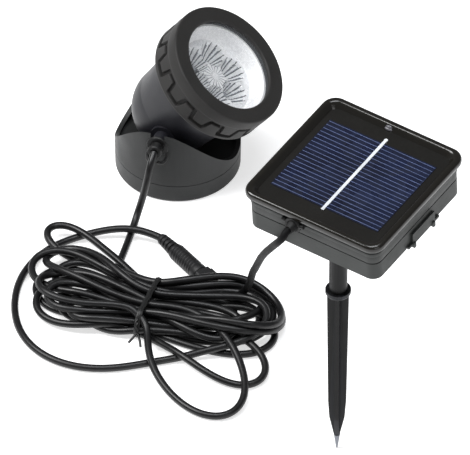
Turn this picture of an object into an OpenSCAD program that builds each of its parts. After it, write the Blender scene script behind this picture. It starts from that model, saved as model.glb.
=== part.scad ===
// Solar pond spotlight set: a sealed lamp head that tilts in a weighted foot,
// its long lead tied in a hank, a plug and socket, and a solar panel that
// tilts on a ground stake. Millimetres, +Z up. The origin is the centre of
// the underside of the lamp's foot and +X is the way that the lamp faces.

/* [Lamp foot] */
// Outer radius of the foot
foot_r = 40.4; // [39.8:0.1:41]
// Height of the seam between the bottom cup and the shell
seam_z = 13.2; // [12.6:0.1:13.6]
// Lowest height of the sculpted rim, at the front and the back
rim_low = 18; // [17.5:0.5:20]
// Height of the two ears above the lowest rim
ear_rise = 39; // [37:0.5:40]

/* [Lamp head] */
// Height of the tilting axis
pivot_z = 46; // [45.5:0.1:46.5]
// Angle that the head points above the horizon at rest
head_elev = 52.4; // [50:0.1:56]
// Radius of the ball-shaped back of the head
ball_r = 29.5; // [29:0.1:30]
// Outer radius of the bezel ring
bezel_r = 42; // [41:0.1:43]
// Radius of the opening in the bezel ring
window_r = 31; // [29:0.5:31.5]
// Radius of the trunnions that the head turns on
trunnion_r = 5; // [4.9:0.01:5.02]
// Number of light-emitting diodes
led_count = 6; // [4:1:7]

/* [Solar panel] */
// Outside size of the square lip
lip_w = 100; // [99:0.5:102]
// Outside size of the square housing
body_w = 94; // [94:0.1:94.4]
// Total thickness of the panel
panel_h = 30; // [29.5:0.5:32]
// Length of the solar cell, along the fingers
cell_w = 78; // [60:1:84]
// Width of the solar cell
cell_d = 65; // [50:1:80]
// Tilt of the panel at rest
panel_tilt = 4; // [0:0.5:6]

/* [Stake] */
// Height of the tilting axis of the panel above the stake's point
knuckle_z = 194.5; // [194:0.5:196]
// Radius of the stake's round upper shaft
shaft_r = 5.7; // [5.5:0.05:5.72]
// Width of the cross-shaped spike
spike_w = 13.5; // [11:0.5:15]

/* [Cable] */
// Diameter of the round cable
cord_d = 4.8; // [4:0.1:5]
// Number of sides on the plain cable tubes
cord_sides = 8; // [8:1:12]

/* [Hidden] */
$fn = 64;
e = 0.01;
stake_x = 180;
stake_y = -223;
panel_az = -15.8;
plug_az = -35.1;
hank_az = 5.6;
// where the panel's centre lies from the tilting axis
centre_x = 12.5;
floor_z = 14;
// routes of the cable's free stretches
lamp_route = [[0,-46.5,46],[0,-50,45.6],[0,-54.5,43],[0,-57.5,38],[-1,-59,30],[-3,-59.5,20],[-5,-60,11],[-6,-63,5.5],[-6,-69,3],[-5,-78,2.6],[-4,-92,2.6],[-3,-106,2.6],[-2,-118,3],[-2,-132,4]];
loop_route = [[60,-166,4],[54,-178,2.6],[45,-189,2.6],[30,-199,2.6],[12,-206,2.6],[-8,-207,2.6],[-26,-201,2.6],[-42,-187,2.6],[-52,-168,2.6],[-57,-148,2.6],[-57,-129,2.6],[-51,-111,2.6],[-41,-97,2.6],[-29,-88,3.5],[-17,-82.5,6.5],[-5,-79.5,8],[4,-78.6,7.4],[10,-78.4,6.4],[15.8,-79.9,6]];
front_route = [[26,-166,8],[34,-178,8],[43,-190,8],[54,-201,6],[68,-213,3],[82,-221,2.6],[96,-225,2.6],[107,-222,2.6],[113,-212,2.6],[112,-198,2.6],[105,-184,2.6],[97,-172,3],[92,-160,4]];
panel_route = [[165,-277.8,223.9],[164.2,-280.7,223.6],[163.5,-282,221.5],[160.5,-281,216.5],[156.5,-276.5,209],[151.5,-270,199],[145.5,-260.5,186],[137.5,-244.5,166],[128.5,-223.5,141],[119,-200,114],[108,-172.5,83],[98.5,-147,54],[91.5,-129.5,32],[87,-121.5,19.5],[82,-119.5,11],[76.4,-119.7,7],[70.3,-118.2,6]];

// ---------- helpers ----------
function unit(v) = v / norm(v);
function tangent(p, i) = unit(p[min(i + 1, len(p) - 1)] - p[max(i - 1, 0)]);
function start_u(t) = unit(cross(t, abs(t[2]) < 0.9 ? [0, 0, 1] : [1, 0, 0]));
function carry(u, t) = unit(u - t * (u * t));
function frames(p, i = 0, acc = []) = i == len(p) ? acc :
    frames(p, i + 1, concat(acc, [i == 0 ? start_u(tangent(p, 0)) : carry(acc[i - 1], tangent(p, i))]));
module sweep(p, d, n) {
    us = frames(p);
    pts = [for (i = [0:len(p) - 1]) let (t = tangent(p, i), u = us[i], v = cross(t, u))
        for (k = [0:n - 1]) p[i] + d / 2 * (cos(360 * k / n) * u + sin(360 * k / n) * v)];
    m = len(p);
    faces = concat(
        [[for (k = [0:n - 1]) n - 1 - k]],
        [[for (k = [0:n - 1]) (m - 1) * n + k]],
        [for (i = [0:m - 2], k = [0:n - 1]) let (a = i * n + k, b = i * n + (k + 1) % n) [a, b, b + n]],
        [for (i = [0:m - 2], k = [0:n - 1]) let (a = i * n + k, b = i * n + (k + 1) % n) [a, b + n, a + n]]);
    polyhedron(points = pts, faces = [for (f = faces) [for (j = [len(f) - 1:-1:0]) f[j]]]);
}
module rsq(w, d, r) {
    square([w - 2 * r, d], center = true);
    square([w, d - 2 * r], center = true);
    for (x = [-1, 1], y = [-1, 1]) translate([x * (w / 2 - r), y * (d / 2 - r)]) circle(r = r);
}
module slab(w, d, r, z0, z1) translate([0, 0, z0]) linear_extrude(z1 - z0) rsq(w, d, r);
module block(x0, x1, y0, y1, z0, z1) translate([x0, y0, z0]) cube([x1 - x0, y1 - y0, z1 - z0]);
module post(x, y, r, z0, z1) translate([x, y, z0]) cylinder(r = r, h = z1 - z0);
module along_y(y0, y1, r0, r1) translate([0, y0, 0]) rotate([-90, 0, 0]) cylinder(r1 = r0, r2 = r1, h = y1 - y0);
module along_x(x0, x1, r0, r1) translate([x0, 0, 0]) rotate([0, 90, 0]) cylinder(r1 = r0, r2 = r1, h = x1 - x0);
module head_place() translate([0, 0, pivot_z]) rotate([0, 90 - head_elev, 0]) children();
module knuckle_place() translate([stake_x, stake_y, knuckle_z]) rotate([0, 0, panel_az]) children();
module panel_place() knuckle_place() rotate([panel_tilt, 0, 0]) translate([centre_x, 0, floor_z]) children();
module plug_place() translate([16, -80, 6]) rotate([0, 0, plug_az]) children();
module stake_place() translate([stake_x, stake_y, 0]) rotate([0, 0, panel_az]) children();

// ---------- lamp foot ----------
module base_ring() color([0.23, 0.23, 0.22]) difference() {
    union() {
        cylinder(r1 = foot_r - 1.2, r2 = foot_r - 0.2, h = 1.6);
        translate([0, 0, 1.6 - e]) cylinder(r1 = foot_r - 0.2, r2 = foot_r, h = seam_z - 1.6 + e);
    }
    translate([0, 0, 2.4]) cylinder(r = foot_r - 3, h = 20);
    for (a = [30:120:270]) rotate(a) { post(33.4, 0, 1.7, -1, 4); post(33.4, 0, 3.2, -1, 1.3); }
}
module base_weight() color([0.45, 0.45, 0.46]) difference() {
    translate([0, 0, 2.5]) cylinder(r = 29, h = 9);
    translate([0, 0, 1]) cylinder(r = 4, h = 12);
}
module rim_profile() polygon(concat([[-44, 8]], [for (y = [-43:2:43]) [y, min(rim_low + ear_rise * pow(y / foot_r, 2), rim_low + ear_rise)]], [[44, 8]]));
module base_shell() color([0.24, 0.24, 0.24]) difference() {
    union() {
        intersection() {
            union() {
                difference() {
                    translate([0, 0, seam_z + 0.4]) cylinder(r = foot_r, h = 50);
                    translate([0, 0, 15.9]) cylinder(r = foot_r - 3, h = 60);
                }
                for (s = [-1, 1]) translate([0, s * 34.6, pivot_z]) rotate([90, 0, 0]) cylinder(r = 13, h = 6.6, center = true);
            }
            translate([-50, 0, 0]) rotate([90, 0, 90]) linear_extrude(100) rim_profile();
            cylinder(r = foot_r, h = 80);
        }
        translate([0, 0, seam_z - 2]) difference() { cylinder(r = foot_r - 3.2, h = 3); translate([0, 0, -1]) cylinder(r = foot_r - 5, h = 6); }
        for (a = [30:120:270]) rotate(a) post(33.4, 0, 3.1, 2.5, seam_z + 1);
    }
    for (a = [30:120:270]) rotate(a) post(33.4, 0, 1.25, 0, 12);
    for (s = [-1, 1]) {
        translate([0, s * 36, pivot_z]) rotate([90, 0, 0]) cylinder(r = 5.06, h = 16, center = true);
        translate([-4.6, s * 36 - 8, pivot_z]) cube([9.2, 16, 20]);
    }
}
module base_screws() color([0.7, 0.7, 0.7]) for (a = [30:120:270]) rotate(a) {
    difference() { post(33.4, 0, 2.9, 0.2, 1.29); translate([33.4 - 0.4, -2, 0]) cube([0.8, 4, 0.7]); }
    post(33.4, 0, 1.2, 1.2, 11);
}

// ---------- lamp head ----------
module head_housing() color([0.24, 0.23, 0.27]) head_place() difference() {
    union() {
        sphere(r = ball_r);
        translate([0, 0, -3]) cylinder(r1 = ball_r - 0.4, r2 = 33, h = 39);
        translate([0, 0, 35.7]) cylinder(r = 36.6, h = 15.5);
        along_y(-38.6, 38.6, trunnion_r, trunnion_r);
        along_y(-30.9, 30.9, 7.8, 7.8);
    }
    sphere(r = 27);
    translate([0, 0, -3]) cylinder(r1 = 26.4, r2 = 28, h = 29);
    translate([0, 0, 25.9]) cylinder(r = 29.6, h = 12);
    translate([0, 0, 37]) cylinder(r = 33, h = 20);
    along_y(-40, -20, 3.35, 3.35);
}
module bezel_ring() color([0.19, 0.18, 0.17]) head_place() difference() {
    union() {
        translate([0, 0, 34]) cylinder(r1 = bezel_r - 0.8, r2 = bezel_r, h = 1);
        translate([0, 0, 35 - e]) cylinder(r = bezel_r, h = 21);
        translate([0, 0, 56 - 2 * e]) cylinder(r1 = bezel_r, r2 = bezel_r - 1.4, h = 1.4);
    }
    translate([0, 0, 35.4]) cylinder(r = 36.9, h = 20.1);
    translate([0, 0, 30]) cylinder(r = 33.4, h = 10);
    translate([0, 0, 50]) cylinder(r = window_r, h = 10);
    for (k = [0:23]) rotate(k * 15) translate([bezel_r - 0.9, -0.9, 38]) cube([4, 1.8, 9]);
}
module front_lens() color([0.85, 0.9, 0.95, 0.4]) head_place() translate([0, 0, 53.1]) cylinder(r = 36.3, h = 2.3);
module lens_gasket() color([0.1, 0.1, 0.1]) head_place() translate([0, 0, 52.15]) rotate_extrude() translate([34.9, 0]) circle(r = 0.9, $fn = 24);
module reflector() color([0.9, 0.9, 0.92]) head_place() difference() {
    union() {
        translate([0, 0, 28]) cylinder(r1 = 26, r2 = 31.6, h = 21.7);
        translate([0, 0, 49]) cylinder(r = 32.8, h = 1.9);
    }
    translate([0, 0, 36.5]) cylinder(r1 = 23.5, r2 = 31.2, h = 14.6);
    for (k = [0:led_count - 1]) rotate(360 * k / led_count) translate([13, 0, 27.9]) cylinder(r1 = 3.4, r2 = 8.4, h = 8.7);
    for (s = [-1, 1]) rotate(30) post(0, s * 21.5, 1.25, 27, 33);
}
module led_board() color([0.15, 0.35, 0.2]) head_place() difference() {
    translate([0, 0, 26.05]) cylinder(r = 29, h = 1.6);
    post(0, 0, 2.5, 25, 29);
    for (s = [-1, 1]) rotate(30) post(0, s * 21.5, 1.4, 25, 29);
}
module leds() color([0.95, 0.95, 0.85]) head_place() for (k = [0:led_count - 1]) rotate(360 * k / led_count) translate([13, 0, 27.7]) {
    cylinder(r = 2.9, h = 1);
    cylinder(r = 2.5, h = 5.2);
    translate([0, 0, 5.2]) sphere(r = 2.5);
}
module board_screws() color([0.7, 0.7, 0.7]) head_place() for (s = [-1, 1]) rotate(30) {
    post(0, s * 21.5, 2.4, 24.4, 26);
    post(0, s * 21.5, 1.2, 25.9, 32.5);
}
module lamp_strain_relief() color([0.1, 0.1, 0.1]) translate([0, 0, pivot_z]) difference() {
    union() {
        along_y(-38.7, -28, 3.3, 3.3);
        along_y(-40.2, -38.7, 4.4, 4.4);
        along_y(-46, -40.1, 3, 3.9);
    }
    for (y = [-45, -43.4, -41.8], s = [-1, 1]) block(s * 3.6 - 1, s * 3.6 + 1, y, y + 0.7, -2.4, 2.4);
}

// ---------- cable set ----------
module lamp_lead() color([0.12, 0.12, 0.12]) sweep(lamp_route, cord_d, cord_sides);
module loop_lead() color([0.12, 0.12, 0.12]) sweep(loop_route, cord_d, cord_sides);
module front_loop() color([0.12, 0.12, 0.12]) sweep(front_route, cord_d, cord_sides);
module panel_lead() color([0.12, 0.12, 0.12]) sweep(panel_route, cord_d, cord_sides);
module lead_hank() color([0.14, 0.14, 0.15]) translate([32, -150, 0.9]) rotate(hank_az) linear_extrude(15) {
    square([122, 42], center = true);
    for (s = [-1, 1]) translate([s * 61, 0]) circle(r = 21);
}
module twist_tie() color([0.08, 0.08, 0.08]) translate([32, -150, 0]) rotate(hank_az) difference() {
    translate([-1.6, -22.2, 0.1]) cube([3.2, 44.4, 16.8]);
    translate([-3, -21.1, 0.85]) cube([6, 42.2, 15.1]);
}
module plug() color([0.13, 0.13, 0.13]) plug_place() difference() {
    union() {
        along_x(0, 3, 3.1, 3.5);
        along_x(3 - e, 14, 3.5, 4.2);
        along_x(14 - e, 16, 4.2, 5.2);
        along_x(16 - e, 42, 5.2, 5.6);
    }
    for (x = [2.6:3:12]) difference() { along_x(x, x + 1.1, 6, 6); along_x(x - 1, x + 2, 2.8, 2.8); }
    along_x(24, 43, 3, 3);
}
module plug_pin() color([0.8, 0.78, 0.7]) plug_place() { along_x(20, 24, 2.4, 2.4); along_x(23.9, 40, 1.1, 1.1); }
module coupling_seal() color([0.05, 0.05, 0.05]) plug_place() translate([42.5, 0, 0]) rotate([0, 90, 0]) difference() { cylinder(r = 5, h = 0.9, center = true); cylinder(r = 3.2, h = 3, center = true); }
module socket() color([0.13, 0.13, 0.13]) plug_place() difference() {
    union() {
        block(43, 53, -6, 6, -5.9, 6);
        along_x(52.9, 60, 5, 4.2);
        along_x(59.9, 66, 4.2, 3.2);
        along_x(26, 43.1, 2.9, 2.9);
    }
    along_x(25, 46, 1.2, 1.2);
}

// ---------- solar panel ----------
module panel_cover() color([0.12, 0.11, 0.1]) panel_place() difference() {
    union() {
        difference() {
            union() {
                slab(lip_w - 1.6, lip_w - 1.6, 8.2, 24.8, 25.6);
                slab(lip_w, lip_w, 9, 25.4, panel_h - 1);
                slab(lip_w - 2, lip_w - 2, 8, panel_h - 1.1, panel_h);
                slab(body_w, body_w, 7, 13, 25);
            }
            slab(90, 90, 6, 25, 40);
            slab(body_w - 4.4, body_w - 4.4, 5, 5, 23.2);
        }
        for (x = [-40, 40], y = [-40, 40]) post(x, y, 3.6, 12.85, 24);
    }
    for (x = [-40, 40], y = [-40, 40]) post(x, y, 1.3, 8, 21.5);
    translate([-12, 0, 19.3]) along_y(-60, -40, 3.5, 3.5);
}
module panel_base() color([0.36, 0.37, 0.37]) panel_place() difference() {
    union() {
        difference() {
            slab(body_w, body_w, 7, 0, 12.6);
            slab(body_w - 4.4, body_w - 4.4, 5, 2.2, 30);
        }
        difference() {
            block(-5, 46, -15.8, 21.8, 1, 12.6);
            block(-3.6, 44.8, -13.6, 19.6, 0, 14);
        }
        for (x = [-40, 40], y = [-40, 40]) post(x, y, 4, 1, 12.6);
        for (y = [-12, 12]) post(-12.5, y, 3, 1, 6.5);
        for (p = [[-40, -14], [-40, 10], [-18, -34]]) post(p[0], p[1], 2, 1, 7.9);
    }
    for (x = [-40, 40], y = [-40, 40]) { post(x, y, 1.6, -1, 20); post(x, y, 3, -1, 2.6); }
    for (y = [-12, 12]) post(-12.5, y, 1.2, -1, 5.5);
    block(1.4, 44.85, -14, 20, -1, 2.3);
    block(44.7, 50, -14, 20, -1, 2.1);
    translate([3.2, 0, 1.2]) along_y(-15.4, 21.4, 0.55, 0.55);
    post(-28, -26, 4.2, -1, 4);
}
module housing_gasket() color([0.03, 0.03, 0.03]) panel_place() difference() { slab(body_w - 0.8, body_w - 0.8, 6.6, 12.6, 13); slab(body_w - 4.2, body_w - 4.2, 5, 12, 14); }
module cell_board() color([0.07, 0.07, 0.07]) panel_place() slab(88.6, 88.6, 5, 25.02, 26.4);
module solar_cell() color([0.1, 0.12, 0.3]) panel_place() block(-cell_w / 2, cell_w / 2, -cell_d / 2, cell_d / 2, 26.41, 26.7);
module busbar() color([0.85, 0.85, 0.85]) panel_place() { block(-1, 1, -34.5, 34.5, 26.7, 26.95); post(0, 35.4, 1.2, 26.41, 27.1); }
module light_sensor() color([0.5, 0.5, 0.52]) panel_place() translate([-4, 42.6, 26.41]) { cylinder(r = 1.6, h = 1.7); translate([0, 0, 1.7]) sphere(r = 1.6); }
module control_board() color([0.1, 0.35, 0.18]) panel_place() {
    block(-43, -14.6, -35, 12, 8, 9.6);
    block(-36, -30, 0, 7, 9.6, 11.2);
    post(-22, -6, 3, 9.6, 15);
    block(-30.5, -25.5, -28.5, -23.5, 6.6, 8.01);
}
module battery_cells() color([0.2, 0.45, 0.25]) panel_place() for (k = [-1, 0, 1]) translate([0, 3 + 10.7 * k, 7.6]) { along_x(-0.8, 42.9, 5.15, 5.15); along_x(42.8, 43.7, 1.8, 1.8); }
module battery_contacts() color([0.8, 0.8, 0.78]) panel_place() {
    block(-3.5, -3.1, -12.5, 18.5, 3, 12);
    block(44.2, 44.6, -12.5, 18.5, 3, 12);
    for (k = [-1, 0, 1]) translate([0, 3 + 10.7 * k, 7.6]) { along_x(-3.2, -0.85, 3, 1.6); along_x(43.72, 44.3, 2, 2); }
}
module battery_door() color([0.33, 0.34, 0.34]) panel_place() difference() {
    union() {
        block(4, 48.6, -13.6, 19.6, 0.1, 1.8);
        block(47.2, 48.6, -9, 15, 0.1, 9);
        for (y = [-8, 13]) block(47.2, 49.6, y - 1, y + 1, -2, 2);
        translate([3.2, 0, 1.2]) along_y(-13.6, 19.6, 1.05, 1.05);
    }
    translate([3.2, 0, 1.2]) along_y(-20, 30, 0.55, 0.55);
    for (x = [12:3:36]) block(x, x + 1.2, -8, 14, -1, 0.6);
}
module door_pin() color([0.7, 0.7, 0.7]) panel_place() translate([3.2, 0, 1.2]) along_y(-15.2, 21.2, 0.5, 0.5);
module power_button() color([0.1, 0.1, 0.1]) panel_place() { post(-28, -26, 4, -1, 2.5); post(-28, -26, 5.4, 2.3, 3.3); post(-28, -26, 1.6, 3.2, 4.9); }
module button_spring() color([0.75, 0.75, 0.75]) panel_place() difference() { post(-28, -26, 4.8, 3.35, 7.95); post(-28, -26, 4, 3, 9); }
module housing_screws() color([0.7, 0.7, 0.7]) panel_place() for (x = [-40, 40], y = [-40, 40]) {
    difference() { post(x, y, 2.7, 0.8, 2.55); block(x - 2, x + 2, y - 0.4, y + 0.4, 0, 1.3); }
    post(x, y, 1.25, 2.5, 20);
}
module panel_gland() color([0.06, 0.06, 0.06]) panel_place() translate([-12, 0, 19.3]) {
    along_y(-47.2, -44.7, 3.4, 3.4);
    along_y(-44.75, -43.3, 3.8, 3.8);
    along_y(-49.2, -47.1, 4, 4);
    along_y(-54, -49.1, 3, 3.9);
}

// ---------- stake ----------
module hinge_bracket() color([0.12, 0.12, 0.12]) panel_place() difference() {
    union() {
        slab_at(-12.5, 0, 24, 34, 3, -3, -0.02);
        for (s = [-1, 1]) {
            block(-12.5 + s * 6.2 - 2, -12.5 + s * 6.2 + 2, -7, 7, -floor_z, -2.9);
            translate([-12.5 + s * 6.2, 0, -floor_z]) along_x(-2, 2, 7, 7);
        }
    }
    translate([-12.5, 0, -floor_z]) along_x(-20, 20, 2.6, 2.6);
    for (y = [-12, 12]) post(-12.5, y, 1.6, -5, 2);
}
module slab_at(x, y, w, d, r, z0, z1) translate([x, y, 0]) slab(w, d, r, z0, z1);
module bracket_screws() color([0.7, 0.7, 0.7]) panel_place() for (y = [-12, 12]) { post(-12.5, y, 2.6, -4.6, -3.02); post(-12.5, y, 1.15, -3.1, 5); }
module stake_head() color([0.12, 0.12, 0.12]) knuckle_place() difference() {
    union() {
        along_x(-4, 4, 7.6, 7.6);
        block(-4, 4, -6, 6, -14, 0);
        translate([0, 0, -31]) cylinder(r = 8.4, h = 19);
        translate([0, 0, -12.1]) cylinder(r1 = 8.4, r2 = 7, h = 2);
    }
    along_x(-10, 10, 2.6, 2.6);
    translate([0, 0, -40]) cylinder(r = shaft_r + 0.05, h = 25.2);
}
module tilt_bolt() color([0.7, 0.7, 0.7]) knuckle_place() { along_x(-15, 8.5, 2.55, 2.55); translate([8.4, 0, 0]) rotate([0, 90, 0]) cylinder(r = 4.8, h = 3.2, $fn = 6); }
module wing_nut() color([0.12, 0.12, 0.12]) knuckle_place() difference() {
    union() { along_x(-14, -8.5, 4.2, 4.6); for (s = [-1, 1]) block(-15.5, -10, s * 6.8 - 3.6, s * 6.8 + 3.6, -1.1, 1.1); }
    along_x(-20, -5, 2.6, 2.6);
}
module spike_profile() polygon([[-spike_w / 2, 130.2], [-spike_w / 2 + 1.2, 40], [-spike_w / 2 + 2, 27], [-1.6, 11.4], [1.6, 11.4], [spike_w / 2 - 2, 27], [spike_w / 2 - 1.2, 40], [spike_w / 2, 130.2]]);
module ground_stake() color([0.11, 0.11, 0.12]) stake_place() {
    for (a = [0, 90]) rotate(a + 28) translate([0, 1.5, 0]) rotate([90, 0, 0]) linear_extrude(3) spike_profile();
    translate([0, 0, 130]) cylinder(r1 = 7.4, r2 = 8, h = 1.2);
    translate([0, 0, 131.1]) cylinder(r = 8, h = 2.4);
    translate([0, 0, 133]) cylinder(r = shaft_r, h = knuckle_z - 15.4 - 133);
}
module stake_tip() color([0.75, 0.75, 0.76]) stake_place() cylinder(r1 = 0.5, r2 = 2, h = 11.4);

base_ring();
base_weight();
base_shell();
base_screws();
head_housing();
bezel_ring();
front_lens();
lens_gasket();
reflector();
led_board();
leds();
board_screws();
lamp_strain_relief();
lamp_lead();
lead_hank();
loop_lead();
front_loop();
plug();
plug_pin();
socket();
coupling_seal();
twist_tie();
panel_lead();
panel_cover();
panel_base();
housing_gasket();
cell_board();
solar_cell();
busbar();
light_sensor();
control_board();
battery_cells();
battery_contacts();
battery_door();
door_pin();
power_button();
button_spring();
housing_screws();
panel_gland();
hinge_bracket();
bracket_screws();
stake_head();
tilt_bolt();
wing_nut();
ground_stake();
stake_tip();
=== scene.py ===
import bpy, bmesh, math
import numpy as np
from mathutils import Matrix, Vector


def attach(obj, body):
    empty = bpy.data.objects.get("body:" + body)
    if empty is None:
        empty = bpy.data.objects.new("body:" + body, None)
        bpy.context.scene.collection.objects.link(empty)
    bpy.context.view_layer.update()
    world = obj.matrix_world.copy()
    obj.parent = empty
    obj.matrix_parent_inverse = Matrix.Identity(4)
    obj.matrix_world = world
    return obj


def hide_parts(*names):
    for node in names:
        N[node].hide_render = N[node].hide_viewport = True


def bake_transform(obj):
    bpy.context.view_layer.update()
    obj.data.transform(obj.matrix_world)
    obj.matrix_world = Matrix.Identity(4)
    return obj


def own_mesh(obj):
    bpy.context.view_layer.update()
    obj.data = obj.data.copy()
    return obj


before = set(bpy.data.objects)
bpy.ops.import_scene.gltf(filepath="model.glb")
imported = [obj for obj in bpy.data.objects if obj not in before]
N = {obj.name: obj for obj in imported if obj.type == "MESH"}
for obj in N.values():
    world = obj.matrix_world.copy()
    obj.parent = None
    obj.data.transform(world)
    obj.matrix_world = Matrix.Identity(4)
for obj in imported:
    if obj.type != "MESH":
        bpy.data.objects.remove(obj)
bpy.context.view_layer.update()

MM = 0.001
scene = bpy.context.scene
scene.view_settings.view_transform = 'Standard'

# ---------------------------------------------------------------- frames (mm)
def rot(axis, deg): return Matrix.Rotation(math.radians(deg), 4, axis)
def tr(x, y, z): return Matrix.Translation((x, y, z))
HEAD = tr(0, 0, 46) @ rot('Y', 37.6)
KNUCKLE = tr(180, -223, 194.5) @ rot('Z', -15.8)
PANEL = KNUCKLE @ rot('X', 4) @ tr(12.5, 0, 14)
PLUG = tr(16, -80, 6) @ rot('Z', -35.1)
STAKE = tr(180, -223, 0) @ rot('Z', -15.8)

# ---------------------------------------------------------------- camera
cam_data = bpy.data.cameras.new("cam")
cam = bpy.data.objects.new("cam", cam_data)
scene.collection.objects.link(cam)
scene.camera = cam
cam_data.lens = 836.43
cam_data.sensor_width = 36
cam_data.clip_start = 0.1
cam_data.clip_end = 60
C = Vector((1.69439, -4.94885, 4.65200)); T = Vector((0.04377, -0.01566, -0.03192))
cam.location = C
cam.rotation_euler = (T - C).to_track_quat('-Z', 'Y').to_euler()

# ---------------------------------------------------------------- materials
def lin(c):
    c = c / 255.0
    return c / 12.92 if c <= 0.04045 else ((c + 0.055) / 1.055) ** 2.4
def rgb(r, g, b): return (lin(r), lin(g), lin(b), 1)
def scaled(c, k): return (min(c[0] * k, 1), min(c[1] * k, 1), min(c[2] * k, 1), 1)

def material(name, colour, rough=0.5, metallic=0.0, spec=0.5, grain=0.0, grain_mm=0.6, vary=0.12, vary_mm=14,
             rough_var=0.06, wear=0.0, wear_colour=None, coat=0.0, coat_rough=0.1, sheen=0.0, stretch=(1, 1, 1), scratch=0.0):
    """A moulded, painted or metal surface: colour and roughness drift on a broad scale, a fine grain in
    colour and bump, and lighter or rubbed edges where wear is given."""
    m = bpy.data.materials.new(name)
    m.use_nodes = True
    nt = m.node_tree; nd = nt.nodes; lk = nt.links
    b = nd["Principled BSDF"]
    b.inputs["Metallic"].default_value = metallic
    b.inputs["Specular IOR Level"].default_value = spec
    b.inputs["Coat Weight"].default_value = coat
    b.inputs["Coat Roughness"].default_value = coat_rough
    b.inputs["Sheen Weight"].default_value = sheen
    tc = nd.new("ShaderNodeTexCoord")
    mp = nd.new("ShaderNodeMapping"); mp.inputs["Scale"].default_value = stretch
    lk.new(tc.outputs["Object"], mp.inputs["Vector"])
    n1 = nd.new("ShaderNodeTexNoise"); n1.inputs["Scale"].default_value = 1000 / vary_mm; n1.inputs["Detail"].default_value = 3
    n2 = nd.new("ShaderNodeTexNoise"); n2.inputs["Scale"].default_value = 1000 / grain_mm; n2.inputs["Detail"].default_value = 2
    for n in (n1, n2): lk.new(mp.outputs["Vector"], n.inputs["Vector"])
    r1 = nd.new("ShaderNodeValToRGB")
    r1.color_ramp.elements[0].position = 0.3; r1.color_ramp.elements[0].color = scaled(colour, 1 - vary)
    r1.color_ramp.elements[1].position = 0.7; r1.color_ramp.elements[1].color = scaled(colour, 1 + vary)
    lk.new(n1.outputs["Fac"], r1.inputs["Fac"])
    last = r1.outputs["Color"]
    mix = nd.new("ShaderNodeMix"); mix.data_type = 'RGBA'; mix.blend_type = 'MULTIPLY'
    mix.inputs["Factor"].default_value = 0.5
    r2 = nd.new("ShaderNodeValToRGB")
    r2.color_ramp.elements[0].position = 0.35; r2.color_ramp.elements[0].color = (0.82, 0.82, 0.82, 1)
    r2.color_ramp.elements[1].position = 0.65; r2.color_ramp.elements[1].color = (1.12, 1.12, 1.12, 1)
    lk.new(n2.outputs["Fac"], r2.inputs["Fac"])
    lk.new(last, mix.inputs["A"]); lk.new(r2.outputs["Color"], mix.inputs["B"])
    last = mix.outputs["Result"]
    if wear > 0:
        g = nd.new("ShaderNodeNewGeometry")
        rw = nd.new("ShaderNodeValToRGB")
        rw.color_ramp.elements[0].position = 0.52; rw.color_ramp.elements[0].color = (0, 0, 0, 1)
        rw.color_ramp.elements[1].position = 0.62; rw.color_ramp.elements[1].color = (wear, wear, wear, 1)
        lk.new(g.outputs["Pointiness"], rw.inputs["Fac"])
        mw = nd.new("ShaderNodeMix"); mw.data_type = 'RGBA'
        lk.new(rw.outputs["Color"], mw.inputs["Factor"]); lk.new(last, mw.inputs["A"])
        mw.inputs["B"].default_value = wear_colour or scaled(colour, 2.2)
        last = mw.outputs["Result"]
    lk.new(last, b.inputs["Base Color"])
    mr = nd.new("ShaderNodeMapRange")
    mr.inputs["From Min"].default_value = 0.3; mr.inputs["From Max"].default_value = 0.7
    mr.inputs["To Min"].default_value = max(rough - rough_var, 0.02); mr.inputs["To Max"].default_value = min(rough + rough_var, 1)
    lk.new(n1.outputs["Fac"], mr.inputs["Value"]); lk.new(mr.outputs["Result"], b.inputs["Roughness"])
    if grain > 0:
        bp = nd.new("ShaderNodeBump"); bp.inputs["Strength"].default_value = grain; bp.inputs["Distance"].default_value = grain_mm * MM * 0.25
        lk.new(n2.outputs["Fac"], bp.inputs["Height"])
        out = bp
        if scratch > 0:
            n3 = nd.new("ShaderNodeTexNoise"); n3.inputs["Scale"].default_value = 260
            m3 = nd.new("ShaderNodeMapping"); m3.inputs["Scale"].default_value = (1, 14, 14)
            lk.new(tc.outputs["Object"], m3.inputs["Vector"]); lk.new(m3.outputs["Vector"], n3.inputs["Vector"])
            b3 = nd.new("ShaderNodeBump"); b3.inputs["Strength"].default_value = scratch; b3.inputs["Distance"].default_value = 0.00008
            lk.new(n3.outputs["Fac"], b3.inputs["Height"]); lk.new(bp.outputs["Normal"], b3.inputs["Normal"])
            out = b3
        lk.new(out.outputs["Normal"], b.inputs["Normal"])
    return m

def glass(name, tint, rough=0.02, alpha=0.12):
    """Clear plastic or glass seen as a thin sheet, with a faint moulded haze."""
    m = material(name, tint, rough=rough, spec=0.6, grain=0.02, grain_mm=2.5, vary=0.01, rough_var=0.01)
    b = m.node_tree.nodes["Principled BSDF"]
    b.inputs["Alpha"].default_value = alpha
    return m

M = {}
M["foot"] = material("foot_plastic_m", rgb(31, 32, 32), 0.48, spec=0.3, grain=0.35, grain_mm=0.5, vary=0.10, wear=0.35)
M["iron"] = material("ballast_iron_m", rgb(92, 92, 94), 0.62, metallic=0.8, grain=0.8, grain_mm=1.2, vary=0.25)
M["screw"] = material("screw_steel_m", rgb(185, 186, 188), 0.28, metallic=1, grain=0.15, grain_mm=0.4, vary=0.08)
M["head"] = material("head_plastic_m", rgb(31, 31, 36), 0.42, spec=0.36, grain=0.3, grain_mm=0.5, vary=0.10, wear=0.3)
M["bezel"] = material("bezel_plastic_m", rgb(39, 38, 37), 0.56, spec=0.30, grain=0.45, grain_mm=0.45, vary=0.08, wear=0.45, wear_colour=rgb(84, 82, 84))
M["lens"] = glass("lens_clear_m", rgb(240, 244, 248), 0.03, 0.06)
M["seal"] = material("seal_rubber_m", rgb(24, 24, 24), 0.7, spec=0.3, grain=0.4, grain_mm=0.4)
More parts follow.
